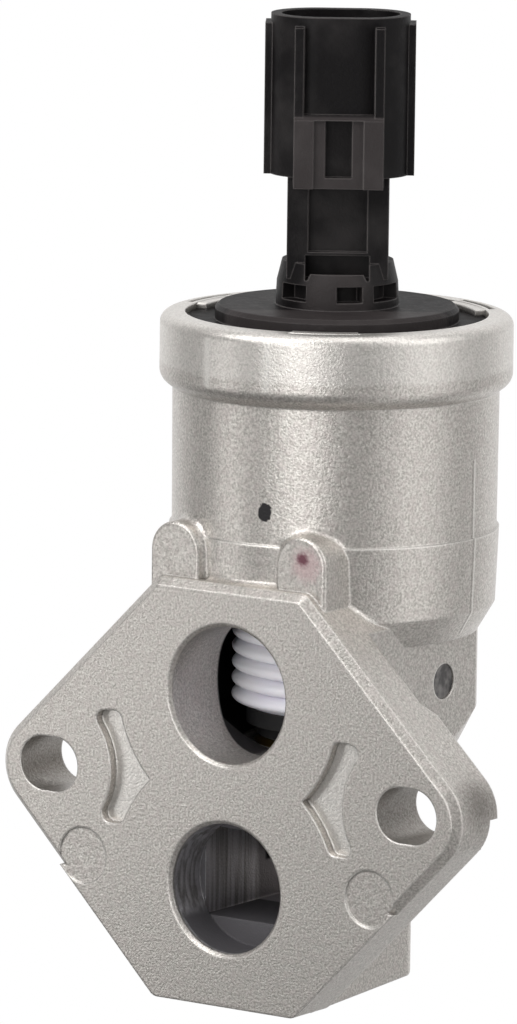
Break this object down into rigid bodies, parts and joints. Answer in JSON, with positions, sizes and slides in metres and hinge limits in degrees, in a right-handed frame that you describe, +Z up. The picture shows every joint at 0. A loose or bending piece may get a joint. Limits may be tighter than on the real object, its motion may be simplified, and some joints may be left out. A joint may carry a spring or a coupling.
{
  "type": "idle air control valve",
  "caption": "Solenoid air valve: die-cast ported housing with a slotted mounting flange, a bellows-balanced sliding plunger and a moulded cap with an upright plug socket.",
  "frame": {"origin": "centre of the flange's mounting face, midway between the two slotted bolt holes", "axes": "+X along the line of the bolt holes, -Y out of the mounting face, +Z up along the valve's axis towards the plug socket"},
  "size_m": [0.066, 0.0428, 0.1162],
  "materials": {
    "cast_housing": "as cast, fine bead-blast grain",
    "side_plug": "dull, mottled",
    "valve_rubber": "matt",
    "bellows": "satin",
    "brass": "turned",
    "steel": "turned",
    "spring_steel": "drawn",
    "copper_winding": "enamelled",
    "bobbin_plastic": "moulded",
    "cap_plastic": "moulded, lightly grained",
    "blade_metal": "tinned"
  },
  "bodies": {
    "housing": {"valve_body": "cast_housing", "side_plug": "side_plug", "valve_seat": "brass", "bellows": "bellows", "bellows_upper_ring": "steel", "lower_yoke_plate": "steel", "plate_seal_ring": "valve_rubber", "lower_bush": "brass", "yoke_shell": "steel", "coil_bobbin": "bobbin_plastic", "coil_winding": "copper_winding", "guide_sleeve": "steel", "balance_spring": "spring_steel", "upper_bush": "brass", "fixed_core": "steel", "return_spring": "spring_steel", "adjusting_screw": "brass", "upper_yoke_plate": "steel", "terminal_left": "blade_metal", "terminal_right": "blade_metal", "cap_seal_ring": "valve_rubber", "connector_cap": "cap_plastic"},
    "plunger": {"valve_head": "valve_rubber", "head_clip": "spring_steel", "bellows_lower_ring": "steel", "valve_shaft": "steel", "armature": "steel", "spring_seat": "brass"}
  },
  "joints": [
    {"name": "plunger_slide", "type": "slide", "parent": "housing", "child": "plunger", "axis": [0, 0, 1], "range_m": [0, 0.003], "stiffness_N_per_m": 700, "springref_m": -0.004, "deforming": ["bellows", "return_spring", "balance_spring"]}
  ]
}
